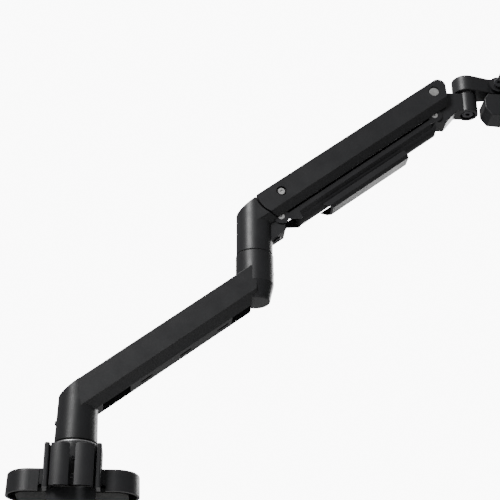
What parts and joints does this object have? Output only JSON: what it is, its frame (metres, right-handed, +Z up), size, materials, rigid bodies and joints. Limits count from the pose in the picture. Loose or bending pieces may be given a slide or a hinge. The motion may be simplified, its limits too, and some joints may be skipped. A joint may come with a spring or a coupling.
{
  "type": "monitor arm",
  "caption": "Desk-clamped sprung monitor arm: swivelling lower arm, parallel-link upper arm and a tilting, panning, turning screen plate.",
  "frame": {"origin": "centre of the base's underside, on the desk top and on the axis of the base swivel", "axes": "+Z up; +X along the desk's rear edge, the way both arms reach at rest; +Y over the desk"},
  "size_m": [0.674, 0.12, 0.8165],
  "materials": {
    "rubber": "matt black rubber",
    "painted_steel": "fine-textured black powder coat on steel",
    "painted_casting": "aluminium casting, fine-textured black powder coat",
    "moulding": "fine-textured black moulding",
    "bearing_plastic": "plain dark bearing plastic",
    "collar_metal": "bare satin aluminium",
    "bright_steel": "plain bright steel",
    "plated_screws": "bright zinc-plated screw",
    "black_screws": "black oxide steel screw",
    "gas_spring_body": "smooth black paint on steel"
  },
  "bodies": {
    "base": {"desk_pad": "rubber", "clamp_bracket": "painted_steel", "post_bolts": "black_screws", "lower_jaw": "painted_steel", "jaw_bolts": "plated_screws", "base_housing": "moulding", "base_post": "bright_steel", "base_collar": "collar_metal", "rear_cable_clip": "moulding", "clip_screws": "black_screws"},
    "clamp_foot": {"pressure_plate": "painted_steel", "pressure_pad": "rubber"},
    "clamp_screw_body": {"clamp_screw": "bright_steel", "clamp_knob": "moulding"},
    "lower_arm_body": {"lower_arm": "painted_casting", "lower_cable_cover": "moulding", "hub_set_screws": "black_screws", "base_bushes": "bearing_plastic", "elbow_bushes": "bearing_plastic", "thrust_washers": "bearing_plastic"},
    "elbow": {"elbow_bracket": "painted_casting", "elbow_shaft": "bright_steel", "tension_screw": "black_screws", "spring_anchor_pin": "bright_steel", "lift_bushes": "bearing_plastic"},
    "upper_arm_body": {"upper_arm": "painted_casting", "lift_pivot_shaft": "bright_steel", "lift_pivot_screws": "plated_screws", "head_pivot_pin": "plated_screws", "spring_upper_pin": "bright_steel"},
    "gas_cylinder": {"gas_spring_cylinder": "gas_spring_body"},
    "gas_rod": {"gas_spring_rod": "bright_steel"},
    "link": {"lower_link": "painted_steel", "link_cover": "moulding", "cable_clip": "moulding", "link_pins": "plated_screws"},
    "head": {"head_bracket": "painted_casting", "head_bushes": "bearing_plastic", "pan_bolt": "black_screws", "pan_washer": "bright_steel", "pan_nut": "plated_screws"},
    "pan": {"pan_knuckle": "painted_casting", "pan_cap": "moulding"},
    "tilt": {"tilt_bracket": "painted_casting", "tilt_bolt": "black_screws", "tilt_nut": "plated_screws", "tilt_washers": "bearing_plastic", "rotation_washer": "bearing_plastic", "rotation_boss": "black_screws", "rotation_stop_ring": "bright_steel"},
    "screen_plate": {"vesa_plate": "painted_steel"}
  },
  "joints": [
    {"name": "base_swivel", "type": "hinge", "parent": "base", "child": "lower_arm_body", "pos_m": [0, 0, 0.09], "axis": [0, 0, 1], "range_deg": [-180, 180]},
    {"name": "elbow_swivel", "type": "hinge", "parent": "lower_arm_body", "child": "elbow", "pos_m": [0.2178, 0, 0.3], "axis": [0, 0, 1], "range_deg": [-180, 180]},
    {"name": "lift", "type": "hinge", "parent": "elbow", "child": "upper_arm_body", "pos_m": [0.2523, 0, 0.4105], "axis": [0, -1, 0], "range_deg": [-67, 2.4]},
    {"name": "link_swing", "type": "hinge", "parent": "elbow", "child": "link", "pos_m": [0.2523, 0, 0.3778], "axis": [0, -1, 0], "range_deg": [-67, 2.4]},
    {"name": "head_level", "type": "hinge", "parent": "upper_arm_body", "child": "head", "pos_m": [0.47121, 0, 0.57908], "axis": [0, -1, 0], "range_deg": [-2.4, 67]},
    {"name": "spring_tilt", "type": "hinge", "parent": "upper_arm_body", "child": "gas_cylinder", "pos_m": [0.43733, 0, 0.55047], "axis": [0, -1, 0], "range_deg": [-0.1, 0.9]},
    {"name": "spring_stroke", "type": "slide", "parent": "gas_cylinder", "child": "gas_rod", "axis": [-0.7646, 0, -0.6445], "range_m": [-0.018, 0.0008]},
    {"name": "head_pan", "type": "hinge", "parent": "head", "child": "pan", "pos_m": [0.52291, 0, 0.5895], "axis": [0, 0, 1], "range_deg": [-90, 90]},
    {"name": "head_tilt", "type": "hinge", "parent": "pan", "child": "tilt", "pos_m": [0.567, 0, 0.6015], "axis": [0, -1, 0], "range_deg": [-5, 75]},
    {"name": "screen_rotation", "type": "hinge", "parent": "tilt", "child": "screen_plate", "pos_m": [0.591, 0, 0.6015], "axis": [1, 0, 0], "range_deg": [-90, 90]},
    {"name": "clamp_travel", "type": "slide", "parent": "base", "child": "clamp_foot", "axis": [0, 0, 1], "range_m": [-0.03, 0.02]},
    {"name": "clamp_screw_turn", "type": "hinge", "parent": "clamp_foot", "child": "clamp_screw_body", "pos_m": [0, 0, -0.09], "axis": [0, 0, 1], "range_deg": [-7200, 4800]}
  ],
  "couplings": [
    {"joint": "link_swing", "follows": "lift", "ratio": 1},
    {"joint": "head_level", "follows": "lift", "ratio": -1},
    {"joint": "spring_tilt", "follows": "lift", "ratio": -0.012},
    {"joint": "spring_stroke", "follows": "lift", "m_per_rad": 0.015},
    {"joint": "clamp_screw_turn", "follows": "clamp_travel", "rad_per_m": 4188.8}
  ]
}
